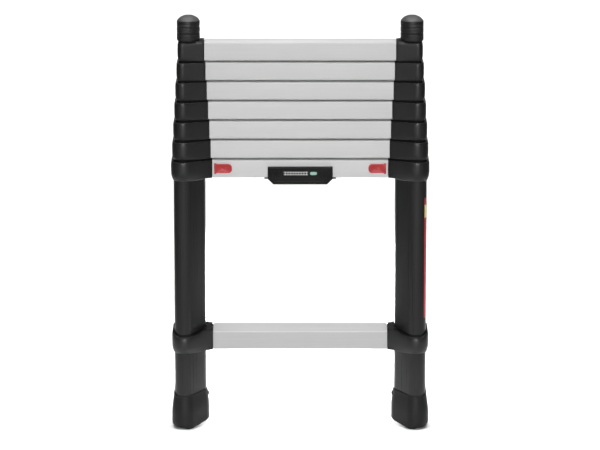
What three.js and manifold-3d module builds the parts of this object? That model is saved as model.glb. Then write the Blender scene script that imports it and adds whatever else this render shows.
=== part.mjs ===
// A telescoping ladder, closed: seven stacked rungs that slide up, and one fixed lower rung.
// Millimetres. +Z is up, the ladder's front looks along -Y, and its left rail is on the -X side.
// The origin is on the floor, midway between the two feet.

import * as THREE from 'three';
import { mergeVertices } from 'three/addons/utils/BufferGeometryUtils.js';
import Module from 'manifold-3d';

const wasm = await Module();
wasm.setup();

// Overall layout
const SECTIONS = 7;
const LOWER_RUNG = 8;
const RAIL_X = 185.3;
const STACK_BASE = 429;
const STACK_PITCH = 33;
const LOWER_RUNG_Z = 133;
const OPEN_PITCH = 295;
const TRAVEL = OPEN_PITCH - STACK_PITCH;
const FIT = 0.3;
const OVERLAP = 1;

// Rail tubes: a triangle of three corners, grown outwards by an offset that rounds them.
// In a rail's own axes +X points at the middle of the ladder. Each tube is deeper and wider
// than the one that slides in it.
const CORE_BACK = -10;
const CORE_TIP = 10;
const CORE_HALF_DEPTH = 24;
const CORE_DEPTH_STEP = 1.1;
const ARC_GRID = Math.PI / 4;
const ANGLE_EPSILON = 0.01;
const TOP_RAIL_OFFSET = 4;
const RAIL_STEP = 2;
const LOWEST_RAIL_EXTRA = 0.4;
const RAIL_WALL = 1.4;
const TUBE_TOP = 25;
const TUBE_LENGTH = 370;
const CAP_ENGAGEMENT = 20;
const LOWEST_TUBE_Z = 9.6;

// Rungs
const RUNG_HALF_DEPTH = 17.5;
const RUNG_FRONT_HEIGHT = 30;
const RUNG_BACK_HEIGHT = 32.4;
const LOWER_RUNG_BACK_HEIGHT = 39;
const RUNG_WALL = 2;
const RUNG_CORNER = 2.2;

// Collars
const COLLAR_HEIGHT = 32.7;
const COLLAR_REACH = 11.7;
const SOCKET_HALF_DEPTH = 19.3;
const SOCKET_CORNER = 2;
const SPIGOT_LENGTH = 25;
const RELEASE_SPIGOT_LENGTH = 60;
const STACKED_BARREL = [[0, 2.4], [2.5, 3.8], [16, 4.7], [30, 4.1], [COLLAR_HEIGHT, 2.9]];
const BOTTOM_BARREL = [[-2, 0.7], [5, 2.8], [18, 4.4], [30, 4], [COLLAR_HEIGHT, 2.9]];
const LOWER_BARREL = [[-2, 0.7], [4, 3.1], [13, 4.5], [22, 4.1], [28, 0.8]];
const LOWER_RIM = { outerX: -17, outerSlope: 0.85, innerX: -6, innerSlope: 0.2, limit: 9.5 };
const LOWER_SOCKET_FRONT = 37.5;

// Lock pins, release buttons and their springs
const PIN_Z = 16;
const PIN_RADIUS = 4;
const PIN_LENGTH = 26;
const PIN_BORE_WALL = 2.7;
const PIN_SIDES = 10;
const RELEASE_TRAVEL = 12;
const FLANGE_START = 64;
const FLANGE_END = 66;
const FLANGE_RADIUS = 6;
const TAIL_RADIUS = 2;
const TAIL_END = 96;
const SPRING_CHAMBER_START = 62;
const SPRING_CHAMBER_RADIUS = 6.5;
const SPRING_SEAT_WALL = 4;
const SPRING_RADIUS = 4.3;
const SPRING_WIRE = 0.6;
const SPRING_TURNS = 5;
const STEPS_PER_TURN = 8;
const STEM_START = 43.7;
const STEM_LENGTH = 8;
const STEM_HALF_HEIGHT = 3.5;
const BUTTON_START = 41.7;
const BUTTON_LENGTH = 29.5;
const BUTTON_HALF_HEIGHT = 7.7;
const BUTTON_END_RADIUS = 6.5;
const BUTTON_THICKNESS = 3.6;
const BUTTON_LIP_LENGTH = 3.8;
const BUTTON_LIP_HALF_HEIGHT = 8.8;
const BUTTON_LIP_THICKNESS = 4.8;

// Carry handle and its badge
const HANDLE_HALF_WIDTH = 54.4;
const HANDLE_TOP = 19.3;
const HANDLE_BOTTOM = -11;
const HANDLE_CORNER = 9.5;
const HANDLE_THICKNESS = 5;
const HANDLE_LIP_HALF_WIDTH = 60;
const HANDLE_LIP_THICKNESS = 1.6;
const HANDLE_RADIUS = 1.2;
const BADGE_HALF_WIDTH = 31;
const BADGE_LOW = 2.6;
const BADGE_HIGH = 14.1;
const BADGE_THICKNESS = 0.9;

// Top caps and feet
const CAP_BASE_GAP = 0.6;
const CAP_CENTRE = -0.7;
const CAP_HALF_WIDTH = 19.2;
const CAP_HALF_DEPTH = 24.2;
const CAP_SIDES = 20;
const CAP_OUTER_FULLNESS = 3;
const CAP_GROOVES = [12.7, 22.9];
const CAP_GROOVE_SCALE = 0.955;
const CAP_GROOVE_HALF_WIDTH = 1.3;
const CAP_DOME = [[33.5, 1], [36.2, 0.81], [39, 0.57], [40.7, 0.38]];
const FOOT_LEVELS = [
  [0, 13], [1.2, 16.6], [4, 19.6], [9, 21.4], [24, 21.8], [36, 21], [48, 19], [56.3, 17.9],
];
const FOOT_RIM = { outerX: -20, outerSlope: 0.75, innerX: -13, innerSlope: 0.15, limit: 6 };
const FOOT_POCKET_Z = LOWEST_TUBE_Z - FIT;
const SOLE_BEVEL_START = 3;
const SOLE_BEVEL_ANGLE = 0.32;

// Materials
const BLACK_ALUMINIUM = { color: 0x2c2c2e, roughness: 0.42, metalness: 0.6 };
const BLACK_PLASTIC = { color: 0x262628, roughness: 0.62, metalness: 0 };
const SILVER_ALUMINIUM = { color: 0xc9c9c9, roughness: 0.4, metalness: 0.85 };
const RED_PLASTIC = { color: 0xc4464a, roughness: 0.45, metalness: 0 };
const BLACK_RUBBER = { color: 0x232323, roughness: 0.8, metalness: 0 };
const STEEL = { color: 0x9a9a9c, roughness: 0.35, metalness: 1 };
const BADGE = { color: 0x202624, roughness: 0.5, metalness: 0 };

const ladder = new THREE.Group();

function railOffset(section) {
  const extra = section === SECTIONS ? LOWEST_RAIL_EXTRA : 0;
  return TOP_RAIL_OFFSET + RAIL_STEP * (section - 1) + extra;
}

function rungZ(section) {
  return section === LOWER_RUNG ? LOWER_RUNG_Z : STACK_BASE + STACK_PITCH * (SECTIONS - section);
}

// The lower rung and its collars sit on the lowest tubes.
function tubeOf(section) {
  return Math.min(section, SECTIONS);
}

// How far a collar reaches from its rail's axis to the end of its rung.
function collarEnd(section) {
  return CORE_TIP + railOffset(tubeOf(section)) + COLLAR_REACH;
}

// The triangle of corner centres that a tube's outline is drawn round.
function railCore(section) {
  const halfDepth = CORE_HALF_DEPTH - CORE_DEPTH_STEP * (SECTIONS - section);
  return [
    new THREE.Vector2(CORE_BACK, -halfDepth),
    new THREE.Vector2(CORE_TIP, 0),
    new THREE.Vector2(CORE_BACK, halfDepth),
  ];
}

// The angles round a corner from start to end, with those on the common grid in between.
function arcAngles(start, end) {
  const angles = [start];
  let step = Math.floor(start / ARC_GRID) + 1;
  while (step * ARC_GRID < end - ANGLE_EPSILON) {
    angles.push(step * ARC_GRID);
    step += 1;
  }
  angles.push(end);
  return angles;
}

// The points of the rounded triangle that lies at an offset outside a tube's core.
function railOutline(section, offset) {
  const core = railCore(section);
  return core.flatMap((corner, index) => {
    const before = core[(index + core.length - 1) % core.length];
    const after = core[(index + 1) % core.length];
    const start = Math.atan2(before.x - corner.x, corner.y - before.y);
    let end = Math.atan2(corner.x - after.x, after.y - corner.y);
    if (end < start) {
      end += 2 * Math.PI;
    }
    return arcAngles(start, end).map((angle) => {
      const spoke = new THREE.Vector2(Math.cos(angle), Math.sin(angle));
      return spoke.multiplyScalar(offset).add(corner);
    });
  });
}

// A solid through outlines of equal point count, one for each height.
function loft(heights, outlines) {
  const count = outlines[0].length;
  const positions = outlines.flatMap((outline, level) => (
    outline.flatMap((point) => [point.x, point.y, heights[level]])
  ));
  const indices = [];
  for (let level = 0; level < heights.length - 1; level += 1) {
    for (let side = 0; side < count; side += 1) {
      const low = level * count + side;
      const lowNext = level * count + (side + 1) % count;
      indices.push(low, lowNext, lowNext + count, low, lowNext + count, low + count);
    }
  }
  const top = (heights.length - 1) * count;
  for (let side = 1; side < count - 1; side += 1) {
    indices.push(0, side + 1, side);
    indices.push(top, top + side, top + side + 1);
  }
  const geometry = new THREE.BufferGeometry();
  geometry.setAttribute('position', new THREE.Float32BufferAttribute(positions, 3));
  geometry.setIndex(indices);
  return geometry;
}

// A solid round a rail that changes size with height; a level is [height, offset].
function railLoft(section, levels) {
  const heights = levels.map(([height]) => height);
  return loft(heights, levels.map(([, offset]) => railOutline(section, offset)));
}

// Lifts a loft's rim on both sides of its lowest part; what lies below the rim follows in proportion.
function raiseRim(geometry, rim) {
  const positions = geometry.attributes.position;
  const height = positions.getZ(positions.count - 1);
  for (let index = 0; index < positions.count; index += 1) {
    const x = positions.getX(index);
    const z = positions.getZ(index);
    const outer = (rim.outerX - x) * rim.outerSlope;
    const inner = (x - rim.innerX) * rim.innerSlope;
    const lift = Math.min(rim.limit, Math.max(0, outer, inner));
    positions.setZ(index, z + Math.max(0, z / height) * lift);
  }
  return geometry;
}

// A closed outline with its corners cut back by a radius and joined with curves.
function roundedShape(corners, radius) {
  const shape = new THREE.Shape();
  corners.forEach((corner, index) => {
    const before = corners[(index + corners.length - 1) % corners.length];
    const after = corners[(index + 1) % corners.length];
    const start = corner.clone().add(before.clone().sub(corner).setLength(radius));
    const end = corner.clone().add(after.clone().sub(corner).setLength(radius));
    if (index === 0) {
      shape.moveTo(start.x, start.y);
    } else {
      shape.lineTo(start.x, start.y);
    }
    shape.quadraticCurveTo(corner.x, corner.y, end.x, end.y);
  });
  shape.closePath();
  return shape;
}

// A bar of constant section along X; the shape's own axes become Y and Z.
function barAlongX(shape, start, end) {
  const options = { depth: end - start, bevelEnabled: false, curveSegments: 1 };
  const geometry = new THREE.ExtrudeGeometry(shape, options);
  const xAxis = new THREE.Vector3(1, 0, 0);
  const yAxis = new THREE.Vector3(0, 1, 0);
  const zAxis = new THREE.Vector3(0, 0, 1);
  geometry.applyMatrix4(new THREE.Matrix4().makeBasis(yAxis, zAxis, xAxis));
  geometry.translate(start, 0, 0);
  return geometry;
}

// A plate seen from the front; the shape's own axes become X and Z, from the front face backwards.
function plateAlongY(shape, front, back) {
  const options = { depth: back - front, bevelEnabled: false, curveSegments: 3 };
  const geometry = new THREE.ExtrudeGeometry(shape, options);
  const xAxis = new THREE.Vector3(1, 0, 0);
  const minusY = new THREE.Vector3(0, -1, 0);
  const zAxis = new THREE.Vector3(0, 0, 1);
  geometry.applyMatrix4(new THREE.Matrix4().makeBasis(xAxis, zAxis, minusY));
  geometry.translate(0, back, 0);
  return geometry;
}

// A box from left to right, front to back and bottom to top.
function block([left, right], [front, back], [bottom, top]) {
  const geometry = new THREE.BoxGeometry(right - left, back - front, top - bottom);
  geometry.translate((left + right) / 2, (front + back) / 2, (bottom + top) / 2);
  return geometry;
}

// A round bar along X at the height of the lock pins.
function pinBar(radius, start, end) {
  const geometry = new THREE.CylinderGeometry(radius, radius, end - start, PIN_SIDES);
  geometry.rotateZ(-Math.PI / 2);
  geometry.translate((start + end) / 2, 0, PIN_Z);
  return geometry;
}

function solid(geometry) {
  const bare = geometry.clone();
  bare.deleteAttribute('normal');
  bare.deleteAttribute('uv');
  const merged = mergeVertices(bare);
  const vertProperties = new Float32Array(merged.attributes.position.array);
  const triVerts = new Uint32Array(merged.index.array);
  return new wasm.Manifold(new wasm.Mesh({ numProp: 3, vertProperties, triVerts }));
}

function toGeometry(manifold) {
  const mesh = manifold.getMesh();
  const geometry = new THREE.BufferGeometry();
  geometry.setAttribute('position', new THREE.BufferAttribute(mesh.vertProperties, 3));
  geometry.setIndex(new THREE.BufferAttribute(mesh.triVerts, 1));
  return geometry;
}

// The same piece for the right-hand rail, with its faces still pointing out.
function mirrored(geometry) {
  const copy = geometry.clone();
  copy.scale(-1, 1, 1);
  if (!copy.index) {
    copy.setIndex([...Array(copy.attributes.position.count).keys()]);
  }
  const index = copy.index.array;
  for (let corner = 0; corner < index.length; corner += 3) {
    [index[corner + 1], index[corner + 2]] = [index[corner + 2], index[corner + 1]];
  }
  return copy;
}

function addMesh(name, geometry, finish, x, z) {
  geometry.computeVertexNormals();
  const mesh = new THREE.Mesh(geometry, new THREE.MeshStandardMaterial(finish));
  mesh.name = name;
  mesh.position.set(x, 0, z);
  ladder.add(mesh);
}

// A piece on both rails, drawn in the left rail's axes.
function addPair(prefix, suffix, geometry, finish, z) {
  addMesh(`${prefix}_left${suffix}`, geometry, finish, -RAIL_X, z);
  addMesh(`${prefix}_right${suffix}`, mirrored(geometry), finish, RAIL_X, z);
}

// Rail tube: open at both ends, with round holes in its inner corner for the lock pins.
function railTube(section) {
  const offset = railOffset(section);
  const top = section === 1 ? COLLAR_HEIGHT + CAP_ENGAGEMENT : TUBE_TOP;
  const bottom = section === SECTIONS ? LOWEST_TUBE_Z - STACK_BASE : TUBE_TOP - TUBE_LENGTH;
  const shape = new THREE.Shape(railOutline(section, offset));
  shape.holes.push(new THREE.Path(railOutline(section, offset - RAIL_WALL)));
  const geometry = new THREE.ExtrudeGeometry(shape, { depth: top - bottom, bevelEnabled: false });
  geometry.translate(0, 0, bottom);
  let tube = solid(geometry);
  const drill = pinBar(PIN_RADIUS + FIT, CORE_TIP, CORE_TIP + offset + RAIL_WALL);
  if (section > 1) {
    tube = tube.subtract(solid(drill));
  }
  if (section < SECTIONS) {
    tube = tube.subtract(solid(drill.clone().translate(0, 0, -STACK_PITCH - TRAVEL)));
  }
  return toGeometry(tube);
}

// The four corners of a rung's section, seen along X, moved inwards by an inset.
function rungCorners(backHeight, inset) {
  const slope = (backHeight - RUNG_FRONT_HEIGHT) / (2 * RUNG_HALF_DEPTH);
  const reach = RUNG_HALF_DEPTH - inset;
  const drop = inset * Math.hypot(1, slope);
  const middle = (RUNG_FRONT_HEIGHT + backHeight) / 2;
  return [
    new THREE.Vector2(-reach, inset),
    new THREE.Vector2(reach, inset),
    new THREE.Vector2(reach, middle + reach * slope - drop),
    new THREE.Vector2(-reach, middle - reach * slope - drop),
  ];
}

function rungBackHeight(section) {
  return section === LOWER_RUNG ? LOWER_RUNG_BACK_HEIGHT : RUNG_BACK_HEIGHT;
}

// Rung: a hollow extrusion with a tread that rises a little towards the back.
function rung(section) {
  const halfLength = RAIL_X - collarEnd(section) - FIT;
  const backHeight = rungBackHeight(section);
  const shape = roundedShape(rungCorners(backHeight, 0), RUNG_CORNER);
  shape.holes.push(roundedShape(rungCorners(backHeight, RUNG_WALL), RUNG_CORNER - RUNG_WALL / 2));
  const bar = barAlongX(shape, -halfLength, halfLength);
  if (section !== SECTIONS) {
    return bar;
  }
  const slot = stemSlot(-RUNG_HALF_DEPTH - RUNG_WALL, -RUNG_HALF_DEPTH + 2 * RUNG_WALL);
  const leftSlot = slot.clone().translate(-RAIL_X, 0, 0);
  const rightSlot = mirrored(slot).translate(RAIL_X, 0, 0);
  return toGeometry(solid(bar).subtract(solid(leftSlot)).subtract(solid(rightSlot)));
}

// The space that a release button's stem needs over its whole travel.
function stemSlot(front, back) {
  const end = STEM_START + STEM_LENGTH + RELEASE_TRAVEL + FIT;
  const half = STEM_HALF_HEIGHT + FIT;
  return block([STEM_START - FIT, end], [front, back], [PIN_Z - half, PIN_Z + half]);
}

function barrelOf(section) {
  if (section === LOWER_RUNG) {
    return LOWER_BARREL;
  }
  return section === SECTIONS ? BOTTOM_BARREL : STACKED_BARREL;
}

// The block that carries a rung's end.
function rungSocket(section) {
  const end = collarEnd(section);
  const top = section === LOWER_RUNG ? LOWER_RUNG_BACK_HEIGHT : COLLAR_HEIGHT;
  const front = section === LOWER_RUNG ? LOWER_SOCKET_FRONT : COLLAR_HEIGHT;
  const corners = [
    new THREE.Vector2(-SOCKET_HALF_DEPTH, 0),
    new THREE.Vector2(SOCKET_HALF_DEPTH, 0),
    new THREE.Vector2(SOCKET_HALF_DEPTH, top),
    new THREE.Vector2(-SOCKET_HALF_DEPTH, front),
  ];
  return solid(barAlongX(roundedShape(corners, SOCKET_CORNER), CORE_TIP, end));
}

// The spigot that plugs into a rung.
function rungSpigot(section) {
  const length = section === SECTIONS ? RELEASE_SPIGOT_LENGTH : SPIGOT_LENGTH;
  const shape = roundedShape(rungCorners(rungBackHeight(section), RUNG_WALL + FIT), RUNG_CORNER);
  return solid(barAlongX(shape, CORE_TIP, collarEnd(section) + length));
}

// Bores for the collar's own tube, and above it for the next tube, which slides through.
function collarBores(section) {
  const tube = tubeOf(section);
  const own = railOffset(tube) + FIT;
  const below = -COLLAR_HEIGHT;
  const above = 2 * COLLAR_HEIGHT;
  if (section === 1 || section === LOWER_RUNG) {
    return solid(railLoft(tube, [[below, own], [above, own]]));
  }
  const inner = railOffset(section - 1) + FIT;
  const lower = solid(railLoft(tube, [[below, own], [TUBE_TOP + FIT, own]]));
  return lower.add(solid(railLoft(section - 1, [[0, inner], [above, inner]])));
}

// The lock pin's bore, and on the release rung its spring chamber and the button's slot.
function pinBores(section) {
  const end = collarEnd(section);
  const bore = PIN_RADIUS + FIT;
  if (section !== SECTIONS) {
    return solid(pinBar(bore, CORE_TIP, end + SPIGOT_LENGTH - PIN_BORE_WALL));
  }
  const spigotEnd = end + RELEASE_SPIGOT_LENGTH;
  return solid(pinBar(bore, CORE_TIP, SPRING_CHAMBER_START + OVERLAP))
    .add(solid(pinBar(SPRING_CHAMBER_RADIUS, SPRING_CHAMBER_START, spigotEnd - SPRING_SEAT_WALL)))
    .add(solid(pinBar(TAIL_RADIUS + FIT, SPRING_CHAMBER_START, spigotEnd + SPRING_SEAT_WALL)))
    .add(solid(stemSlot(-RUNG_HALF_DEPTH, 0)));
}

// Collar: a barrel round the rail, joined to the socket and spigot of its rung. On the stacked
// collars flat sides run from the barrel to the socket.
function collar(section) {
  const tube = tubeOf(section);
  const levels = barrelOf(section).map(([height, swell]) => [height, railOffset(tube) + swell]);
  const skin = railLoft(tube, levels);
  const outside = section === LOWER_RUNG
    ? solid(raiseRim(skin, LOWER_RIM)).add(rungSocket(section))
    : wasm.Manifold.hull([solid(skin), rungSocket(section)]);
  let body = outside.add(rungSpigot(section)).subtract(collarBores(section));
  if (section > 1 && section < LOWER_RUNG) {
    body = body.subtract(pinBores(section));
  }
  return toGeometry(body);
}

// Where a lock pin's tip rests, just clear of the tube that slides past it.
function pinTip(section) {
  return CORE_TIP + railOffset(section - 1) + FIT;
}

function lockPin(section) {
  const tip = pinTip(section);
  if (section !== SECTIONS) {
    return pinBar(PIN_RADIUS, tip, tip + PIN_LENGTH);
  }
  const pin = solid(pinBar(PIN_RADIUS, tip, FLANGE_END - OVERLAP))
    .add(solid(pinBar(FLANGE_RADIUS, FLANGE_START, FLANGE_END)))
    .add(solid(pinBar(TAIL_RADIUS, FLANGE_START, TAIL_END)));
  return toGeometry(pin);
}

class Helix extends THREE.Curve {
  constructor(radius, turns, start, end) {
    super();
    this.radius = radius;
    this.turns = turns;
    this.start = start;
    this.end = end;
  }

  getPoint(t) {
    const angle = 2 * Math.PI * this.turns * t;
    const along = this.start + (this.end - this.start) * t;
    return new THREE.Vector3(along, this.radius * Math.cos(angle), PIN_Z + this.radius * Math.sin(angle));
  }
}

// Return spring between the pin's flange and the end wall of the spring chamber.
function releaseSpring() {
  const clearance = SPRING_WIRE + FIT;
  const seat = collarEnd(SECTIONS) + RELEASE_SPIGOT_LENGTH - SPRING_SEAT_WALL;
  const path = new Helix(SPRING_RADIUS, SPRING_TURNS, FLANGE_END + clearance, seat - clearance);
  const wire = new THREE.Shape();
  wire.absarc(0, 0, SPRING_WIRE, 0, 2 * Math.PI);
  const steps = SPRING_TURNS * STEPS_PER_TURN;
  return new THREE.ExtrudeGeometry(wire, { steps, extrudePath: path, curveSegments: 3 });
}

// Release button: a thumb pad on the rung's face, a raised outer lip, and a stem to the pin.
function releaseButton() {
  const face = -RUNG_HALF_DEPTH - FIT;
  const end = BUTTON_START + BUTTON_LENGTH;
  const shape = new THREE.Shape();
  const bend = end - BUTTON_END_RADIUS;
  const flat = BUTTON_HALF_HEIGHT - BUTTON_END_RADIUS;
  shape.moveTo(BUTTON_START, PIN_Z - BUTTON_HALF_HEIGHT);
  shape.lineTo(bend, PIN_Z - BUTTON_HALF_HEIGHT);
  shape.absarc(bend, PIN_Z - flat, BUTTON_END_RADIUS, -Math.PI / 2, 0);
  shape.absarc(bend, PIN_Z + flat, BUTTON_END_RADIUS, 0, Math.PI / 2);
  shape.lineTo(BUTTON_START, PIN_Z + BUTTON_HALF_HEIGHT);
  shape.closePath();
  const pad = solid(plateAlongY(shape, face - BUTTON_THICKNESS, face));
  const lip = solid(block(
    [BUTTON_START, BUTTON_START + BUTTON_LIP_LENGTH],
    [face - BUTTON_LIP_THICKNESS, face],
    [PIN_Z - BUTTON_LIP_HALF_HEIGHT, PIN_Z + BUTTON_LIP_HALF_HEIGHT],
  ));
  const stem = solid(block(
    [STEM_START, STEM_START + STEM_LENGTH],
    [face - OVERLAP, -PIN_RADIUS - FIT],
    [PIN_Z - STEM_HALF_HEIGHT, PIN_Z + STEM_HALF_HEIGHT],
  ));
  return toGeometry(pad.add(lip).add(stem));
}

function badgeShape(grow) {
  const corners = [
    new THREE.Vector2(-BADGE_HALF_WIDTH - grow, BADGE_LOW - grow),
    new THREE.Vector2(BADGE_HALF_WIDTH + grow, BADGE_LOW - grow),
    new THREE.Vector2(BADGE_HALF_WIDTH + grow, BADGE_HIGH + grow),
    new THREE.Vector2(-BADGE_HALF_WIDTH - grow, BADGE_HIGH + grow),
  ];
  return roundedShape(corners, HANDLE_RADIUS + grow);
}

// Carry handle: a front plate with cut corners, and a lip that lies under the rung.
function carryHandle() {
  const back = -RUNG_HALF_DEPTH - FIT;
  const front = back - HANDLE_THICKNESS;
  const corners = [
    new THREE.Vector2(-HANDLE_HALF_WIDTH + HANDLE_CORNER, HANDLE_BOTTOM),
    new THREE.Vector2(HANDLE_HALF_WIDTH - HANDLE_CORNER, HANDLE_BOTTOM),
    new THREE.Vector2(HANDLE_HALF_WIDTH, HANDLE_BOTTOM + HANDLE_CORNER),
    new THREE.Vector2(HANDLE_HALF_WIDTH, HANDLE_TOP),
    new THREE.Vector2(-HANDLE_HALF_WIDTH, HANDLE_TOP),
    new THREE.Vector2(-HANDLE_HALF_WIDTH, HANDLE_BOTTOM + HANDLE_CORNER),
  ];
  const plate = solid(plateAlongY(roundedShape(corners, HANDLE_RADIUS), front, back));
  const lip = solid(block(
    [-HANDLE_LIP_HALF_WIDTH, HANDLE_LIP_HALF_WIDTH],
    [back - OVERLAP, RUNG_HALF_DEPTH],
    [-FIT - HANDLE_LIP_THICKNESS, -FIT],
  ));
  const recessDepth = BADGE_THICKNESS + FIT;
  const recess = solid(plateAlongY(badgeShape(FIT), front - OVERLAP, front + recessDepth));
  return toGeometry(plate.add(lip).subtract(recess));
}

function badgePlate() {
  const front = -RUNG_HALF_DEPTH - FIT - HANDLE_THICKNESS;
  return plateAlongY(badgeShape(0), front, front + BADGE_THICKNESS);
}

// A cap's outline: an oval at a scale, filled out on the side that faces away from the rungs.
function capOutline(scale) {
  const points = [];
  for (let side = 0; side < CAP_SIDES; side += 1) {
    const angle = 2 * Math.PI * side / CAP_SIDES;
    const across = Math.cos(angle);
    const along = Math.sin(angle);
    const power = across < 0 ? 2 / CAP_OUTER_FULLNESS : 1;
    const x = Math.sign(across) * Math.abs(across) ** power * CAP_HALF_WIDTH;
    const y = Math.sign(along) * Math.abs(along) ** power * CAP_HALF_DEPTH;
    points.push(new THREE.Vector2(CAP_CENTRE + x * scale, y * scale));
  }
  return points;
}

// Top cap: a ribbed grip with a domed top, pushed over the end of the smallest tube.
function topCap() {
  const ribs = CAP_GROOVES.flatMap((height) => [
    [height - CAP_GROOVE_HALF_WIDTH, 1],
    [height, CAP_GROOVE_SCALE],
    [height + CAP_GROOVE_HALF_WIDTH, 1],
  ]);
  const levels = [[0, 1], ...ribs, ...CAP_DOME];
  const heights = levels.map(([height]) => height);
  const body = solid(loft(heights, levels.map(([, scale]) => capOutline(scale))));
  const pocketTop = CAP_ENGAGEMENT - CAP_BASE_GAP + FIT;
  const pocketOffset = railOffset(1) + FIT;
  const pocket = railLoft(1, [[-OVERLAP, pocketOffset], [pocketTop, pocketOffset]]);
  return toGeometry(body.subtract(solid(pocket)));
}

// Foot: a flared shoe round the lowest tube, with its sole bevelled up towards the middle.
function foot() {
  const pocketOffset = railOffset(SECTIONS) + FIT;
  const height = FOOT_LEVELS[FOOT_LEVELS.length - 1][0];
  const size = 2 * height;
  const pocket = railLoft(SECTIONS, [[FOOT_POCKET_Z, pocketOffset], [size, pocketOffset]]);
  const wedge = new THREE.BoxGeometry(size, size, size);
  wedge.translate(size / 2, 0, -size / 2);
  wedge.rotateY(-SOLE_BEVEL_ANGLE);
  wedge.translate(SOLE_BEVEL_START, 0, 0);
  const skin = raiseRim(railLoft(SECTIONS, FOOT_LEVELS), FOOT_RIM);
  const shoe = solid(skin).subtract(solid(pocket));
  return toGeometry(shoe.subtract(solid(wedge)));
}

for (let section = 1; section <= SECTIONS; section += 1) {
  addPair('rail', `_${section}`, railTube(section), BLACK_ALUMINIUM, rungZ(section));
}
for (let section = 1; section <= LOWER_RUNG; section += 1) {
  addPair('collar', `_${section}`, collar(section), BLACK_PLASTIC, rungZ(section));
  addMesh(`rung_${section}`, rung(section), SILVER_ALUMINIUM, 0, rungZ(section));
}
for (let section = 2; section <= SECTIONS; section += 1) {
  addPair('lock_pin', `_${section}`, lockPin(section), STEEL, rungZ(section));
}
addPair('release_spring', '', releaseSpring(), STEEL, STACK_BASE);
addPair('release_button', '', releaseButton(), RED_PLASTIC, STACK_BASE);
addMesh('carry_handle', carryHandle(), BLACK_PLASTIC, 0, STACK_BASE);
addMesh('badge_plate', badgePlate(), BADGE, 0, STACK_BASE);
addPair('top_cap', '', topCap(), BLACK_PLASTIC, rungZ(1) + COLLAR_HEIGHT + CAP_BASE_GAP);
addPair('foot', '', foot(), BLACK_RUBBER, 0);

export default ladder;
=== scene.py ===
import math

import bmesh
import bpy
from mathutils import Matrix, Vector


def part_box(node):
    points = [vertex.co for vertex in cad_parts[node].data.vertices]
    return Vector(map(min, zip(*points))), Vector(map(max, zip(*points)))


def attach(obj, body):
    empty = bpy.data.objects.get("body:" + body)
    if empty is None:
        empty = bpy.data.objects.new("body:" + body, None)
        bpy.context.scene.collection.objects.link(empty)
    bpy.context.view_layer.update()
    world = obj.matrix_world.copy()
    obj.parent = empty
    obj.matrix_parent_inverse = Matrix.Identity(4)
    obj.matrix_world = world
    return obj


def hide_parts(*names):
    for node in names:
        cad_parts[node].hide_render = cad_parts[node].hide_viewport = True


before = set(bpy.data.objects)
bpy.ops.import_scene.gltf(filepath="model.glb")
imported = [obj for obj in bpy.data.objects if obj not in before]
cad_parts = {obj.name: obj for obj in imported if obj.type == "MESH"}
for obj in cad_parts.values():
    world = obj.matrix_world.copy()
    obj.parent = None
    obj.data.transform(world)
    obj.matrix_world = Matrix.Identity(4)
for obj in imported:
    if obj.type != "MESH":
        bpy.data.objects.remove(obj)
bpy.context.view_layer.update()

# Shapes are worked out in millimetres and stored in metres.
MM = 0.001
SECTIONS = 7
LOWER_RUNG = 8
SIDES = ("left", "right")

# Rail section: a triangle of three corners, grown outwards by an offset that rounds them.
# u points from a rail's axis to the middle of the ladder, v from front to back.
CORE_BACK = -10.0
CORE_TIP = 10.0
ARC_STEP = math.radians(7)
RAIL_WALL = 1.4
FIT = 0.3

# Rungs and collars
RUNG_HALF_DEPTH = 17.5
RUNG_FRONT = 31.2
RUNG_WALL = 2.0
SOCKET_HALF_DEPTH = 19.3
SOCKET_CORNER = 2.0
COLLAR_REACH = 11.7
COLLAR_HEIGHT = 32.7
NECK_WALL = 1.2
NECK_HEIGHT = 2.7
LEDGE_HEIGHT = 1.6
SPIGOT_LENGTH = 25.0

# Points along each stretch of a collar's outline
CORNER_STEPS = 20
FLAT_STEPS = 12
END_STEPS = 5

# Caps and feet
DOME_HEIGHT = 7.2
FOOT_HEIGHT = 56.3

# Camera, far away for a flat perspective
CAMERA_DISTANCE = 5.8645
CAMERA_HEIGHT = 1.623
CAMERA_TILT = math.radians(12.3)
CAMERA_LENS = 214.0
CAMERA_X = -0.0003

# Light: the world's strength, and each lamp's power in watts
WORLD = 0.125
NEAR_PANEL = 15
FRONT_PANEL = 26.6
LOW_PANEL = 5.0
FAR_PANEL = 70
FRONT_BOX = 11.6


# ---------------------------------------------------------------- places from the frame

def millimetres(node):
    low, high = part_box(node)
    return [value / MM for value in low], [value / MM for value in high]


def rail_offset(section):
    """How far a tube's outline lies outside the core triangle."""
    low, high = millimetres(f"rail_left_{section}")
    return (high[0] - low[0] - (CORE_TIP - CORE_BACK)) / 2


def rail_axis():
    """Distance of a rail's own axis from the middle of the ladder."""
    low, _ = millimetres("rail_left_1")
    return -(low[0] - CORE_BACK + rail_offset(1))


def core_half_depth(section):
    """Distance of a tube's front corner centre from the rail's axis."""
    low, _ = millimetres(f"rail_left_{section}")
    return -low[1] - rail_offset(section)


OFFSETS = {section: rail_offset(section) for section in range(1, SECTIONS + 1)}
DEPTHS = {section: core_half_depth(section) for section in range(1, SECTIONS + 1)}
OFFSETS[LOWER_RUNG] = OFFSETS[SECTIONS]
DEPTHS[LOWER_RUNG] = DEPTHS[SECTIONS]
RAIL_X = rail_axis()
RUNG_Z = {section: millimetres(f"rung_{section}")[0][2] for section in range(1, LOWER_RUNG + 1)}


def body_name(section):
    return "base" if section >= SECTIONS else f"section_{section}"


# ---------------------------------------------------------------- mesh helpers

def arc(centre, radius, start, end, steps=None):
    """Points along an arc, both ends included."""
    steps = steps or max(2, round(abs(end - start) / ARC_STEP))
    points = []
    for step in range(steps + 1):
        angle = start + (end - start) * step / steps
        points.append((centre[0] + radius * math.cos(angle), centre[1] + radius * math.sin(angle)))
    return points


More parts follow.
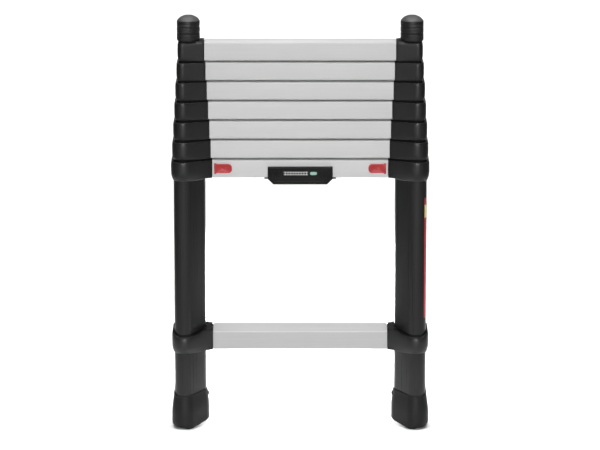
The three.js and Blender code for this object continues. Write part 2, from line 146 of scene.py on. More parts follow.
def face_angle(section):
    """Direction in which a tube's slanted back face looks, from the inward axis."""
    return math.atan2(CORE_TIP - CORE_BACK, DEPTHS[section])


def rail_outline(section, offset):
    """The rounded triangle at an offset outside a tube's core, counter-clockwise."""
    depth = DEPTHS[section]
    slant = face_angle(section)
    return (
        arc((CORE_BACK, -depth), offset, math.pi, 2 * math.pi - slant)
        + arc((CORE_TIP, 0.0), offset, -slant, slant)
        + arc((CORE_BACK, depth), offset, slant, math.pi)
    )


def rail_spokes(section):
    """Each outline point's place on the core, and the direction in which it grows."""
    core = rail_outline(section, 0.0)
    grown = rail_outline(section, 1.0)
    return [((u0, v0), (u1 - u0, v1 - v0)) for (u0, v0), (u1, v1) in zip(core, grown)]


def place(point, side):
    """A point in a rail's own axes, moved to its place in metres."""
    u, v, z = point
    x = u - RAIL_X if side == "left" else RAIL_X - u
    return Vector((x * MM, v * MM, z * MM))


def straight(point):
    return Vector(point) * MM


def add_rings(bm, rings, mover, closed=False):
    """Joins rings of equal count with faces, and caps the ends or joins the last ring to the first."""
    rows = [[bm.verts.new(mover(point)) for point in ring] for ring in rings]
    count = len(rows[0])
    pairs = list(zip(rows, rows[1:]))
    if closed:
        pairs.append((rows[-1], rows[0]))
    for low, high in pairs:
        for index in range(count):
            after = (index + 1) % count
            bm.faces.new((low[index], low[after], high[after], high[index]))
    if not closed:
        bm.faces.new(rows[0][::-1])
        bm.faces.new(rows[-1])


def finish_object(bm, name, material, sharp=35.0):
    """A new object from a bmesh, shaded smooth except across sharp edges."""
    bmesh.ops.recalc_face_normals(bm, faces=bm.faces)
    mesh = bpy.data.meshes.new(name)
    bm.to_mesh(mesh)
    bm.free()
    mesh.polygons.foreach_set("use_smooth", [True] * len(mesh.polygons))
    mesh.set_sharp_from_angle(angle=math.radians(sharp))
    mesh.materials.append(material)
    made = bpy.data.objects.new(name, mesh)
    bpy.context.scene.collection.objects.link(made)
    return made


def cut(target, cutter):
    """Takes cutter's volume out of target and deletes cutter."""
    modifier = target.modifiers.new("cut", "BOOLEAN")
    modifier.operation = "DIFFERENCE"
    modifier.solver = "EXACT"
    modifier.object = cutter
    depsgraph = bpy.context.evaluated_depsgraph_get()
    mesh = bpy.data.meshes.new_from_object(target.evaluated_get(depsgraph))
    target.modifiers.clear()
    mesh.set_sharp_from_angle(angle=math.radians(25))
    target.data = mesh
    bpy.data.objects.remove(cutter)


def settle(made, body, material_slot, *nodes):
    """A finished piece: it rides on a body and may stand for CAD nodes, which it hides; its material slot
    is not used.
    """
    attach(made, body)
    if nodes:
        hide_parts(*nodes)


def smoothstep(value):
    value = min(1.0, max(0.0, value))
    return value * value * (3 - 2 * value)


def rounded_polygon(corners, radii):
    """A polygon with each corner replaced by an arc of its own radius."""
    points = []
    count = len(corners)
    for index, corner in enumerate(corners):
        here = Vector(corner)
        before = (Vector(corners[index - 1]) - here).normalized()
        after = (Vector(corners[(index + 1) % count]) - here).normalized()
        half = before.angle(after) / 2
        radius = radii[index]
        centre = here + (before + after).normalized() * (radius / math.sin(half))
        start = here + before * (radius / math.tan(half)) - centre
        end = here + after * (radius / math.tan(half)) - centre
        first = math.atan2(start.y, start.x)
        turn = math.atan2(start.x * end.y - start.y * end.x, start.dot(end))
        points.extend(arc(centre, radius, first, first + turn))
    return points


def rounded_rectangle(start, end, low, high, radii):
    """An upright rectangle with rounded corners, counter-clockwise, from its start to its end."""
    corners = ((start, low), (end, low), (end, high), (start, high))
    if start > end:
        corners = corners[::-1]
    return rounded_polygon(corners, radii)


def scaled_ring(outline, centre, share, y):
    """An outline in x and z, scaled about a centre and placed at a depth y."""
    centre_x, centre_z = centre
    return [(centre_x + (x - centre_x) * share, y, centre_z + (z - centre_z) * share) for x, z in outline]


# ---------------------------------------------------------------- material helpers

class Nodes:
    """Short names for building one node material."""

    def __init__(self, name):
        self.material = bpy.data.materials.new(name)
        self.material.use_nodes = True
        self.tree = self.material.node_tree
        self.shader = self.tree.nodes["Principled BSDF"]

    def add(self, kind, **inputs):
        node = self.tree.nodes.new(kind)
        for key, value in inputs.items():
            node.inputs[key.replace("_", " ")].default_value = value
        return node

    def link(self, source, target):
        self.tree.links.new(source, target)

    def place(self, scale):
        """Object coordinates, stretched by a scale for each axis."""
        coordinates = self.add("ShaderNodeTexCoord")
        mapping = self.add("ShaderNodeMapping")
        mapping.inputs["Scale"].default_value = scale
        self.link(coordinates.outputs["Object"], mapping.inputs["Vector"])
        return mapping.outputs["Vector"]

    def noise(self, scale, stretch=(1, 1, 1), detail=3.0, roughness=0.55):
        node = self.add("ShaderNodeTexNoise", Scale=scale, Detail=detail, Roughness=roughness)
        self.link(self.place(stretch), node.inputs["Vector"])
        return node.outputs["Fac"]

    def ramp(self, factor, low, high, start=0.0, end=1.0):
        """Maps a factor onto a number between low and high."""
        node = self.add("ShaderNodeMapRange")
        node.inputs["From Min"].default_value = start
        node.inputs["From Max"].default_value = end
        node.inputs["To Min"].default_value = low
        node.inputs["To Max"].default_value = high
        self.link(factor, node.inputs["Value"])
        return node.outputs["Result"]

    def patches(self, factor):
        """Sharpens a noise into soft patches between 0 and 1."""
        return self.ramp(factor, 0.0, 1.0, 0.3, 0.7)

    def mix(self, factor, low, high):
        """Mixes two colours by a factor."""
        node = self.tree.nodes.new("ShaderNodeMix")
        node.data_type = "RGBA"
        self.link(factor, node.inputs["Factor"])
        for key, value in (("A", low), ("B", high)):
            socket = [s for s in node.inputs if s.name == key and s.type == "RGBA"][0]
            if hasattr(value, "default_value"):
                self.link(value, socket)
            else:
                socket.default_value = (*value, 1.0)
        return [s for s in node.outputs if s.type == "RGBA"][0]

    def bump(self, *layers):
        """Stacks height layers, each (height output, distance in metres, strength)."""
        normal = None
        for height, distance, strength in layers:
            node = self.add("ShaderNodeBump", Distance=distance, Strength=strength)
            self.link(height, node.inputs["Height"])
            if normal is not None:
                self.link(normal, node.inputs["Normal"])
            normal = node.outputs["Normal"]
        self.link(normal, self.shader.inputs["Normal"])

    def wear(self, low, high):
        """Where edges stick out, from 0 to 1."""
        geometry = self.add("ShaderNodeNewGeometry")
        return self.ramp(geometry.outputs["Pointiness"], 0.0, 1.0, low, high)

    def finish(self, color, roughness, metallic=0.0, **sockets):
        self.link(color, self.shader.inputs["Base Color"])
        self.link(roughness, self.shader.inputs["Roughness"])
        self.shader.inputs["Metallic"].default_value = metallic
        for key, value in sockets.items():
            self.shader.inputs[key.replace("_", " ")].default_value = value
        return self.material


def anodised_black():
    """Satin black anodised tube, with faint lines left by the extrusion die along its length."""
    nodes = Nodes("anodised_black")
    lines = nodes.noise(1400, (1, 1, 0.004), 2.0)
    clouds = nodes.noise(9, (1, 1, 0.5), 4.0)
    color = nodes.mix(nodes.patches(clouds), (0.004, 0.004, 0.0042), (0.0056, 0.0056, 0.0059))
    color = nodes.mix(nodes.wear(0.53, 0.6), color, (0.02, 0.02, 0.021))
    rough = nodes.ramp(lines, 0.27, 0.32, 0.3, 0.7)
    nodes.bump((lines, 0.00004, 0.2))
    return nodes.finish(color, rough, 0.0, Specular_IOR_Level=0.24)


def moulded_black(name, base, rough, grain_scale, grain_depth, shine=0.33):
    """Moulded black plastic or rubber with a fine spark-eroded grain."""
    nodes = Nodes(name)
    grain = nodes.noise(grain_scale, (1, 1, 1), 2.0, 0.7)
    clouds = nodes.noise(22, (1, 1, 1), 4.0)
    bright = tuple(value * 1.35 for value in base)
    color = nodes.mix(nodes.patches(clouds), base, bright)
    edge = tuple(value * 2.2 for value in base)
    color = nodes.mix(nodes.wear(0.52, 0.62), color, edge)
    roughness = nodes.ramp(grain, rough - 0.06, rough + 0.08, 0.3, 0.7)
    nodes.bump((grain, grain_depth, 0.6))
    return nodes.finish(color, roughness, 0.0, Specular_IOR_Level=shine)


def anodised_silver(name, base):
    """Clear anodised aluminium with brushing and die lines along its length."""
    nodes = Nodes(name)
    brushing = nodes.noise(1500, (0.006, 1, 1), 3.0, 0.65)
    die_lines = nodes.noise(260, (0.0005, 1, 1), 1.0)
    clouds = nodes.noise(7, (0.35, 1, 1), 3.0)
    color = nodes.mix(nodes.patches(clouds), (base,) * 3, (base * 1.05,) * 3)
    color = nodes.mix(nodes.ramp(brushing, 0.0, 0.25, 0.4, 0.8), color, (base * 0.83,) * 3)
    rough = nodes.ramp(brushing, 0.5, 0.65, 0.25, 0.75)
    nodes.bump((die_lines, 0.00005, 0.25), (brushing, 0.00002, 0.5))
    return nodes.finish(color, rough, 0.3, Specular_IOR_Level=0.15)


def red_plastic():
    nodes = Nodes("red_plastic")
    grain = nodes.noise(1500, (1, 1, 1), 2.0)
    clouds = nodes.noise(60, (1, 1, 1), 3.0)
    color = nodes.mix(nodes.patches(clouds), (0.34, 0.016, 0.02), (0.40, 0.022, 0.027))
    color = nodes.mix(nodes.wear(0.53, 0.66), color, (0.48, 0.07, 0.07))
    rough = nodes.ramp(grain, 0.34, 0.48, 0.3, 0.7)
    nodes.bump((grain, 0.00003, 0.4))
    return nodes.finish(color, rough, 0.0, Specular_IOR_Level=0.3)


def printed(name, base, rough=0.5, shine=0.5):
    """A thin printed or painted layer with slight mottling."""
    nodes = Nodes(name)
    mottle = nodes.noise(350, (1, 1, 1), 3.0)
    dark = tuple(value * 0.88 for value in base)
    color = nodes.mix(nodes.ramp(mottle, 0.0, 1.0, 0.35, 0.65), dark, base)
    roughness = nodes.ramp(mottle, rough - 0.05, rough + 0.07, 0.3, 0.7)
    nodes.bump((mottle, 0.00002, 0.3))
    return nodes.finish(color, roughness, 0.0, Specular_IOR_Level=shine)


def turned_steel():
    nodes = Nodes("turned_steel")
    turning = nodes.noise(2600, (1, 0.02, 0.02), 2.0)
    stain = nodes.noise(120, (1, 1, 1), 4.0)
    color = nodes.mix(nodes.ramp(stain, 0.0, 1.0, 0.35, 0.7), (0.55, 0.55, 0.56), (0.42, 0.42, 0.43))
    rough = nodes.ramp(turning, 0.24, 0.42, 0.3, 0.7)
    nodes.bump((turning, 0.00003, 0.4))
    return nodes.finish(color, rough, 1.0)


RAIL = anodised_black()
COLLAR = moulded_black("collar_black", (0.006, 0.006, 0.0062), 0.4, 1500, 0.00006, 0.36)
# Painted light: a lighter copy of the cap's black for the top of the dome, standing in for the even
# overhead light on it.
CAP_TOP_PAINTED_LIGHT = moulded_black("cap_top_painted_light", (0.05, 0.05, 0.05), 0.6, 1300, 0.00006, 0.4)
CAP = moulded_black("cap_black", (0.0075, 0.0075, 0.0075), 0.5, 1300, 0.00006, 0.31)
RUBBER = moulded_black("foot_rubber", (0.005, 0.005, 0.005), 0.5, 900, 0.0001, 0.19)
HANDLE = moulded_black("handle_black", (0.0032, 0.0032, 0.0034), 0.4, 1700, 0.00004, 0.12)
# Painted shade: a near-black matte plastic that stands in for the shade in the grooves between collars and
# beside the lowest tube.
GROOVE_SHADE = moulded_black("groove_painted_shade", (0.003, 0.003, 0.003), 0.7, 1200, 0.00006, 0.12)
SILVER = anodised_silver("anodised_silver", 0.485)
# Painted shade: a darker copy of the same silver for the rungs' upward faces, so their tops look less lit.
SHADED_TREAD = anodised_silver("tread_painted_shade", 0.365)
# Painted shade and light on the lowest rung: its front gets a darker copy of the silver, its top a lighter
# one than the other rungs' tops.
LOWER_FRONT_SHADED_SILVER = anodised_silver("lower_rung_painted_shade", 0.37)
LOWER_TREAD_LIT_SILVER = anodised_silver("lower_tread_painted_light", 0.47)
RED = red_plastic()
STEEL = turned_steel()
BADGE_BLACK = printed("badge_black", (0.004, 0.005, 0.005), 0.4, 0.12)
INK_WHITE = printed("ink_white", (0.48, 0.48, 0.47))
INK_TEAL = printed("ink_teal", (0.27, 0.45, 0.39))
LABEL_RED = printed("label_red", (0.50, 0.035, 0.045), 0.38)
LABEL_YELLOW = printed("label_yellow", (0.85, 0.66, 0.26), 0.38)


# ---------------------------------------------------------------- rails

def rail_tube(section, side):
    """A tube with softened ends."""
    node = f"rail_{side}_{section}"
    low, high = millimetres(node)
    offset = OFFSETS[section]
    soft = 0.35
    levels = (
        (offset, low[2] + soft),
        (offset, high[2] - soft),
        (offset - soft, high[2]),
        (offset - RAIL_WALL + soft, high[2]),
        (offset - RAIL_WALL, high[2] - soft),
        (offset - RAIL_WALL, low[2] + soft),
        (offset - RAIL_WALL + soft, low[2]),
        (offset - soft, low[2]),
    )
    rings = [[(u, v, z) for u, v in rail_outline(section, grown)] for grown, z in levels]
    bm = bmesh.new()
    add_rings(bm, rings, lambda point: place(point, side), closed=True)
    tube = finish_object(bm, f"tube_{side}_{section}", RAIL)
    settle(tube, body_name(section), "rail_anodised", node)


# ---------------------------------------------------------------- collars

def collar_outline(section, reach, half_depth, end, corner):
    """Plan outline of a collar: round the rail's corners, then straight to the rung's end."""
    corner_centre = Vector((CORE_BACK, -DEPTHS[section]))
    end_centre = Vector((end - corner, -half_depth + corner))
    between = end_centre - corner_centre
    tilt = math.acos((reach - corner) / between.length)
    normal = math.atan2(between.y, between.x) - tilt
    front = arc(corner_centre, reach, -math.pi, normal, CORNER_STEPS)
    last = arc(end_centre, corner, normal, 0.0, END_STEPS)
    flat_start = Vector(front[-1])
    flat_end = Vector(last[0])
    for step in range(1, FLAT_STEPS):
        point = flat_start.lerp(flat_end, step / FLAT_STEPS)
        front.append((point.x, point.y))
    front += last
    back = [(u, -v) for u, v in reversed(front)]
    return front + back


def ray_hit(outline, angle):
    """Where a ray from the rail's axis crosses an outline."""
    direction = (math.cos(angle), math.sin(angle))
    count = len(outline)
    for index in range(count):
        (u0, v0), (u1, v1) = outline[index], outline[(index + 1) % count]
        du, dv = u1 - u0, v1 - v0
        determinant = direction[0] * dv - direction[1] * du
        if abs(determinant) < 1e-12:
            continue
        along = (u0 * dv - v0 * du) / determinant
        share = (u0 * direction[1] - v0 * direction[0]) / determinant
        if along > 0 and -1e-9 <= share <= 1 + 1e-9:
            return direction[0] * along, direction[1] * along
    raise ValueError("the outline doesn't go round the axis")


class Barrel:
    """A collar's side profile, from its lower rim over its widest part to its upper rim."""

    def __init__(self, low, high, low_rim, high_rim, peak, low_power, high_power):
        self.low = low
        self.high = high
        self.low_rim = low_rim
        self.high_rim = high_rim
        self.peak = peak
        self.low_power = low_power
        self.high_power = high_power

    def swell(self, share):
        side = 2 * share - 1
        rim = self.low_rim if side < 0 else self.high_rim
        power = self.low_power if side < 0 else self.high_power
        return rim + (self.peak - rim) * (1 - abs(side) ** power)


STACKED = Barrel(
    low=0.0, high=COLLAR_HEIGHT, low_rim=2.5, high_rim=3.2, peak=4.6, low_power=3.5, high_power=4.5
)
BOTTOM = Barrel(
    low=-2.0, high=COLLAR_HEIGHT, low_rim=0.6, high_rim=3.0, peak=4.3, low_power=2.3, high_power=4.5
)
LOWER = Barrel(low=-2.0, high=27.2, low_rim=0.7, high_rim=2.2, peak=4.4, low_power=2.8, high_power=3.5)


def barrel_of(section):
    if section == LOWER_RUNG:
        return LOWER
    return BOTTOM if section == SECTIONS else STACKED


def rung_top(section, v):
    """Height of a rung's sloping tread above its underside."""
    _, high = millimetres(f"rung_{section}")
    back = high[2] - RUNG_Z[section]
    rise = (back - RUNG_FRONT) / (2 * RUNG_HALF_DEPTH)
    return (RUNG_FRONT + back) / 2 + rise * v


def lower_rim_lift(u):
    """How far the lower collar's rim rises from its lowest place, at the front corner."""
    outer_start = -17.0
    inner_start = -12.0
    outer = max(0.0, outer_start - u)
    inner = max(0.0, u - inner_start)
    return 0.073 * outer ** 2 + 0.0048 * inner ** 2


def collar_height(section, barrel, u, v, share):
    """Height on a collar: the barrel's own, blended into the rung's towards its end."""
    reach = CORE_TIP + OFFSETS[section]
    blend_start = reach - 14
    blend_length = 16
    blend = smoothstep((u - blend_start) / blend_length)
    high = barrel.high
    top = barrel.high
    if section == LOWER_RUNG:
        high += lower_rim_lift(u)
        _, rung_high = millimetres(f"rung_{section}")
        below_tread = 0.5
        slope = 0.03
        top = rung_high[2] - RUNG_Z[section] - below_tread + slope * v
    bottom = min(0.0, barrel.low * (1 - blend))
    upper = high + (top - high) * blend
    return RUNG_Z[section] + bottom + (upper - bottom) * share


def collar_skin(section, barrel):
    """Height share and inset of each ring, from the lower rim to the neck that carries the next collar."""
    tall = barrel.high - barrel.low
    has_neck = section <= SECTIONS
    under = 1.3 if section < SECTIONS else 0.5
    skins = [(0.0, under), (0.35 / tall, under * 0.45), (0.9 / tall, under * 0.1)]
    shoulder = 1 - (NECK_HEIGHT if has_neck else LEDGE_HEIGHT) / tall
    first = 1.5 / tall
    last = shoulder - 0.7 / tall
    steps = 14
    for step in range(steps + 1):
        skins.append((first + (last - first) * step / steps, 0.0))
    if has_neck:
        neck = OFFSETS[section] + barrel.high_rim - neck_reach(section)
        skins += [(shoulder - 0.25 / tall, 0.15), (shoulder, 0.6)]
        skins += [(shoulder + 0.05 / tall, neck - 0.3), (shoulder + 0.35 / tall, neck)]
    else:
        neck = 2.0
        skins += [(shoulder + 0.7 / tall, 0.25), (shoulder + 1.2 / tall, 0.8)]
    skins.append((1.0, neck))
    return skins


def tube_inside(section):
    """The largest tube that runs through a collar."""
    return max(1, section - 1) if section <= SECTIONS else SECTIONS


def neck_reach(section):
    """Offset of a collar's neck, which leaves a thin wall round its bore."""
    return OFFSETS[tube_inside(section)] + FIT + NECK_WALL


def collar_body(bm, section, side):
    """The collar's outer skin, its rims, and the bore that its tube goes through."""
    barrel = barrel_of(section)
    offset = OFFSETS[section]
    end = CORE_TIP + offset + COLLAR_REACH
    inner_tube = tube_inside(section)
    bore = OFFSETS[inner_tube] + FIT
    rings = []
    for level, inset in collar_skin(section, barrel):
        grown = offset + barrel.swell(level) - inset
        socket_inset = min(inset, 0.5) if section == 1 else inset
        half_depth = SOCKET_HALF_DEPTH - socket_inset
        face = end - min(0.4, socket_inset / 2)
        outline = collar_outline(section, grown, half_depth, face, SOCKET_CORNER)
        rings.append([(u, v, collar_height(section, barrel, u, v, level)) for u, v in outline])
    hole = rail_outline(inner_tube, bore)
    angles = [math.atan2(v, u) for u, v, _ in rings[0]]
    inner = [ray_hit(hole, angle) for angle in angles]
    rings.append([(u, v, collar_height(section, barrel, u, v, 1.0)) for u, v in inner])
    rings.append([(u, v, collar_height(section, barrel, u, v, 0.0)) for u, v in inner])
    add_rings(bm, rings, lambda point: place(point, side), closed=True)
    return end


def rung_profile(section, inset):
    """A rung's section as (v, height) points, with softly rounded edges."""
    reach = RUNG_HALF_DEPTH - inset
    corners = (
        (-reach, inset),
        (reach, inset),
        (reach, rung_top(section, reach) - inset),
        (-reach, rung_top(section, -reach) - inset),
    )
    small = max(0.6, 1.6 - inset / 2)
    large = max(0.8, 2.8 - inset)
    return rounded_polygon(corners, (large, small, small, large))


def add_spigot(bm, section, side, end):
    """The tongue that plugs into the hollow rung."""
    soft = 1.0
    root = end - 0.2
    base = RUNG_Z[section]
    stations = ((root, 0.0), (end + SPIGOT_LENGTH - soft, 0.0), (end + SPIGOT_LENGTH, soft))
    rings = []
    for u, shrink in stations:
        profile = rung_profile(section, RUNG_WALL + FIT + shrink)
        rings.append([(u, v, base + height) for v, height in profile])
    add_rings(bm, rings, lambda point: place(point, side))


def collar(section, side):
    bm = bmesh.new()
    end = collar_body(bm, section, side)
    add_spigot(bm, section, side, end)
    made = finish_object(bm, f"collar_shell_{side}_{section}", COLLAR, 40)
    # Painted shade in the groove at the top of the collar.
    paint_neck_shade(made, section)
    settle(made, body_name(section), "collar_plastic", f"collar_{side}_{section}")


def paint_neck_shade(made, section):
    """Paints shade on the neck between two collars, or on the ledge inside the lower collar, with a
    second, near-black matte material.
    """
    tip = RAIL_X - CORE_TIP - OFFSETS[section]
    bottom = RUNG_Z[section] + COLLAR_HEIGHT - 2.6
    made.data.materials.append(GROOVE_SHADE)
    for polygon in made.data.polygons:
        neck = section <= SECTIONS and polygon.center.z > bottom * MM
        beside_rail = abs(polygon.center.x) > tip * MM
        ledge = section == LOWER_RUNG and polygon.normal.z > 0.7
        if (neck and (section > 1 or beside_rail)) or (ledge and beside_rail):
            polygon.material_index = 1


def groove_shade_ring(side):
    """A near-black ring of painted shade that fills the groove between a lowest tube and the top of its
    lower collar.
    """
    section = LOWER_RUNG
    base = RUNG_Z[section] + LOWER.high
    outer = 0.9
    inner = FIT / 2
    bottom = -1.2
    top = 3.4
    skin = ((outer, bottom), (outer, top - 0.5), (outer - 0.4, top), (inner, top), (inner, bottom))
    rings = []
    for grown, lift in skin:
        outline = rail_outline(section, OFFSETS[section] + grown)
        rings.append([(u, v, base + lower_rim_lift(u) + lift) for u, v in outline])
    bm = bmesh.new()
    add_rings(bm, rings, lambda point: place(point, side), closed=True)
    made = finish_object(bm, f"seal_{side}", GROOVE_SHADE)
    settle(made, "base", "collar_plastic")


# ---------------------------------------------------------------- rungs

def tread_ribs(section, inset):
    """A rung's outer section with low grip ribs on its tread."""
    profile = rung_profile(section, inset)
    if inset > 0:
        return profile
    ribs = 5
    pitch = 5.0
    depth = 0.55
    top = []
    half_rib = 0.9
    for rib in range(ribs, -ribs - 1, -1):
        centre = rib * pitch / 2
        sunk = depth if rib % 2 else 0.0
        for edge in (half_rib, -half_rib):
            v = centre + edge
            top.append((v, rung_top(section, v) - sunk))
    side_points = 0
    for index, (v, height) in enumerate(profile):
        if v > 0 and height > rung_top(section, v) - 0.02:
            side_points = index + 1
    return profile[:side_points] + top + profile[side_points:]


def rung_tube(section):
    """A hollow extrusion, open at its ends where the collars plug in."""
    node = f"rung_{section}"
    low, high = millimetres(node)
    base = RUNG_Z[section]
    outer = [(v, base + height) for v, height in tread_ribs(section, 0.0)]
    angles = [math.atan2(z - base - RUNG_FRONT / 2, v) for v, z in outer]
    hollow = [(v, height - RUNG_FRONT / 2) for v, height in rung_profile(section, RUNG_WALL)]
    inner = [ray_hit(hollow, angle) for angle in angles]
    inner = [(v, base + height + RUNG_FRONT / 2) for v, height in inner]
    rings = [
        [(low[0], v, z) for v, z in outer],
        [(high[0], v, z) for v, z in outer],
        [(high[0], v, z) for v, z in inner],
        [(low[0], v, z) for v, z in inner],
    ]
    bm = bmesh.new()
    add_rings(bm, rings, straight, closed=True)
    lowest = section == LOWER_RUNG
    # The lowest rung's front gets the darker copy of the silver: painted shade.
    rung = finish_object(bm, f"tread_{section}", LOWER_FRONT_SHADED_SILVER if lowest else SILVER, 25)
    rung.data.materials.append(LOWER_TREAD_LIT_SILVER if lowest else SHADED_TREAD)
    # Painted light and shade: upward faces get their own copy of the silver, darker than the fronts on the
    # upper rungs and lighter than the front on the lowest rung.
    for polygon in rung.data.polygons:
        if polygon.normal.z > 0.4:
            polygon.material_index = 1
    settle(rung, body_name(section), "rung_aluminium", node)
    return rung


def cut_button_slots(rung):
    """The two slots that the release buttons' stems slide in."""
    outer = RAIL_X - 43.4
    inner = RAIL_X - 64.0
    half = 3.8
    for side in SIDES:
        low, high = millimetres(f"release_button_{side}")
        middle = (low[2] + high[2]) / 2
        sign = -1 if side == "left" else 1
        outline = rounded_rectangle(sign * outer, sign * inner, middle - half, middle + half, (1.0,) * 4)
        bm = bmesh.new()
        rings = [[(x, y, z) for x, z in outline] for y in (-RUNG_HALF_DEPTH - 2, -RUNG_HALF_DEPTH + 5)]
        add_rings(bm, rings, straight)
        cut(rung, finish_object(bm, "slot", SILVER))


# ---------------------------------------------------------------- caps and feet

def cap_outline(middle, half_width, half_depth, outer_fullness, inner_fullness):
    """An oval with its own fullness on the side facing away from the rungs and the side facing them."""
    points = []
    sides = 72
    for step in range(sides):
        angle = 2 * math.pi * step / sides
        across = math.cos(angle)
        along = math.sin(angle)
        power = 2 / (outer_fullness if across < 0 else inner_fullness)
        u = math.copysign(abs(across) ** power, across) * half_width
        v = math.copysign(abs(along) ** power, along) * half_depth
        points.append((middle + u, v))
    return points


def cap_levels(height):
    """Height and inset of each ring of a cap's ribbed body and dome."""
    levels = [(0.0, 1.4), (0.3, 0.6), (0.8, 0.15), (1.3, 0.0)]
    pitch = 5.1
    for groove in range(2, 7):
        deep = groove % 2 == 1
        depth = 0.9 if deep else 0.3
        width = 1.5 if deep else 0.8
        middle = (groove - 0.5) * pitch
        for share in (-1.0, -0.6, -0.2, 0.2, 0.6, 1.0):
            levels.append((middle + share * width, depth * (1 - abs(share) ** 2.2)))
    rim = height - DOME_HEIGHT
    levels += [(rim - 1.0, 0.0), (rim - 0.3, 0.12), (rim + 0.2, 0.5)]
    shoulder = ((1.3, 1.4), (2.5, 2.5), (3.5, 3.8), (4.4, 5.3))
    dome = ((5.2, 7.0), (5.8, 8.6), (6.3, 10.0), (6.6, 10.8))
    disc = ((7.0, 11.1), (7.15, 11.5), (DOME_HEIGHT, 12.2))
    return levels + [(rim + rise, inset) for rise, inset in shoulder + dome + disc]


def top_cap(side):
    """A ribbed grip with a softly domed top."""
    node = f"top_cap_{side}"
    low, high = millimetres(node)
    half_width = (high[0] - low[0]) / 2
    middle = RAIL_X - abs(low[0] + high[0]) / 2
    deep_base = high[1]
    deep_rim = 22.6
    blend_start = 20.0
    blend_end = high[2] - low[2] - DOME_HEIGHT
    pocket = OFFSETS[1] + FIT
    pocket_top = millimetres(f"rail_{side}_1")[1][2] + FIT
    angles = None
    rings = []
    for z, inset in cap_levels(high[2] - low[2]):
        share = smoothstep((z - blend_start) / (blend_end - blend_start))
        depth = deep_base + (deep_rim - deep_base) * share
        squeeze = 1 - inset / half_width
        squarer = 1.4 * share * min(1.0, inset / 10.0)
        outer = 3.0 - 0.9 * share + squarer
        inner = 2.0 + squarer
        outline = cap_outline(middle, half_width * squeeze, depth * squeeze, outer, inner)
        if angles is None:
            angles = [math.atan2(v, u) for u, v in outline]
        droop = 1.3 * share / half_width ** 2
        rings.append([(u, v, low[2] + z - droop * (u - middle) ** 2) for u, v in outline])
    hole = rail_outline(1, pocket)
    socket = [ray_hit(hole, angle) for angle in angles]
    rings = [[(u, v, z) for u, v in socket] for z in (pocket_top, low[2])] + rings
    bm = bmesh.new()
    add_rings(bm, rings, lambda point: place(point, side))
    made = finish_object(bm, f"cap_{side}", CAP, 30)
    made.data.materials.append(CAP_TOP_PAINTED_LIGHT)
    # Painted light: upward faces near the top of the dome get the lighter copy of the cap's black.
    for polygon in made.data.polygons:
        if polygon.normal.z > 0.3 and polygon.center.z > (high[2] - 8.0) * MM:
            polygon.material_index = 1
    settle(made, "section_1", "cap_plastic", node)


def foot_rim_lift(u):
    """How far a foot's rim rises from its lowest place, at the front corner."""
    outer_start = -20.0
    inner_start = -13.0
    highest = 6.0
    outer = max(0.0, outer_start - u)
    inner = max(0.0, u - inner_start)
    return min(highest, 0.095 * outer ** 2 + 0.049 * inner ** 1.3)


def foot_levels(reach, rim, radius):
    """Height and offset of a foot's outside, for one radius of its lower edge."""
    levels = []
    turns = 8
    for step in range(turns + 1):
        turn = math.pi / 2 * step / turns
        levels.append((radius * (1 - math.cos(turn)), reach - radius * (1 - math.sin(turn))))
    steps = 14
    for step in range(1, steps + 1):
        z = radius + (FOOT_HEIGHT - 0.5 - radius) * step / steps
        narrowing = smoothstep((z - 24) / (FOOT_HEIGHT - 20))
        levels.append((z, reach + (rim - reach) * narrowing))
    levels.append((FOOT_HEIGHT, rim - 0.6))
    return levels


def foot(side):
    """A flared shoe with a rounded lower edge and a sole that curves up towards the middle."""
    node = f"foot_{side}"
    low, high = millimetres(node)
    reach = (high[0] - low[0] - (CORE_TIP - CORE_BACK)) / 2
    rim = OFFSETS[SECTIONS] + 1.7

    def sole(u):
        return 0.0075 * max(0.0, u + 5.0) ** 2

    columns = []
    for (u, v), (along, across) in rail_spokes(SECTIONS):
        radius = 2.5 + 8.5 * smoothstep((0.45 - along) / 0.7)
        narrowed = reach - 1.1 * smoothstep((along - 0.5) / 0.5)
        column = []
        for z, grown in foot_levels(narrowed, rim, radius):
            x = u + along * grown
            share = z / FOOT_HEIGHT
            column.append((x, v + across * grown, sole(x) * (1 - share) + z + foot_rim_lift(x) * share))
        columns.append(column)
    rings = [list(ring) for ring in zip(*columns)]
    centre = -3.0
    for share in (0.12, 0.55):
        ring = [(centre + (x - centre) * share, y * share) for x, y, _ in rings[0]]
        rings.insert(0 if share < 0.5 else 1, [(x, y, sole(x)) for x, y in ring])
    pocket = rail_outline(SECTIONS, OFFSETS[SECTIONS] + FIT)
    pocket_floor = millimetres(f"rail_{side}_{SECTIONS}")[0][2] - FIT
    rings.append([(u, v, FOOT_HEIGHT + foot_rim_lift(u)) for u, v in pocket])
    rings.append([(u, v, pocket_floor) for u, v in pocket])
    bm = bmesh.new()
    add_rings(bm, rings, lambda point: place(point, side))
    made = finish_object(bm, f"shoe_{side}", RUBBER, 50)
    settle(made, "base", "foot_rubber", node)


def foot_rivet(side):
    """The domed rivet that holds a foot on its tube, on the side facing the other foot."""
    radius = 3.9
    start = CORE_TIP + OFFSETS[SECTIONS] + 1.2
    centre_z = 53.0
    rings = []
    for reach, share in ((0.0, 1.0), (1.8, 1.0), (2.4, 0.88), (2.8, 0.62), (3.0, 0.3)):
        ring = []
        for u, v in arc((0, 0), radius * share, 0, 2 * math.pi)[:-1]:
            ring.append((start + reach, u, centre_z + v))
        rings.append(ring)
    bm = bmesh.new()
    add_rings(bm, rings, lambda point: place(point, side))
    made = finish_object(bm, f"foot_rivet_{side}", HANDLE, 50)
    settle(made, "base", "foot_rubber")


# ---------------------------------------------------------------- buttons, handle, badge, label

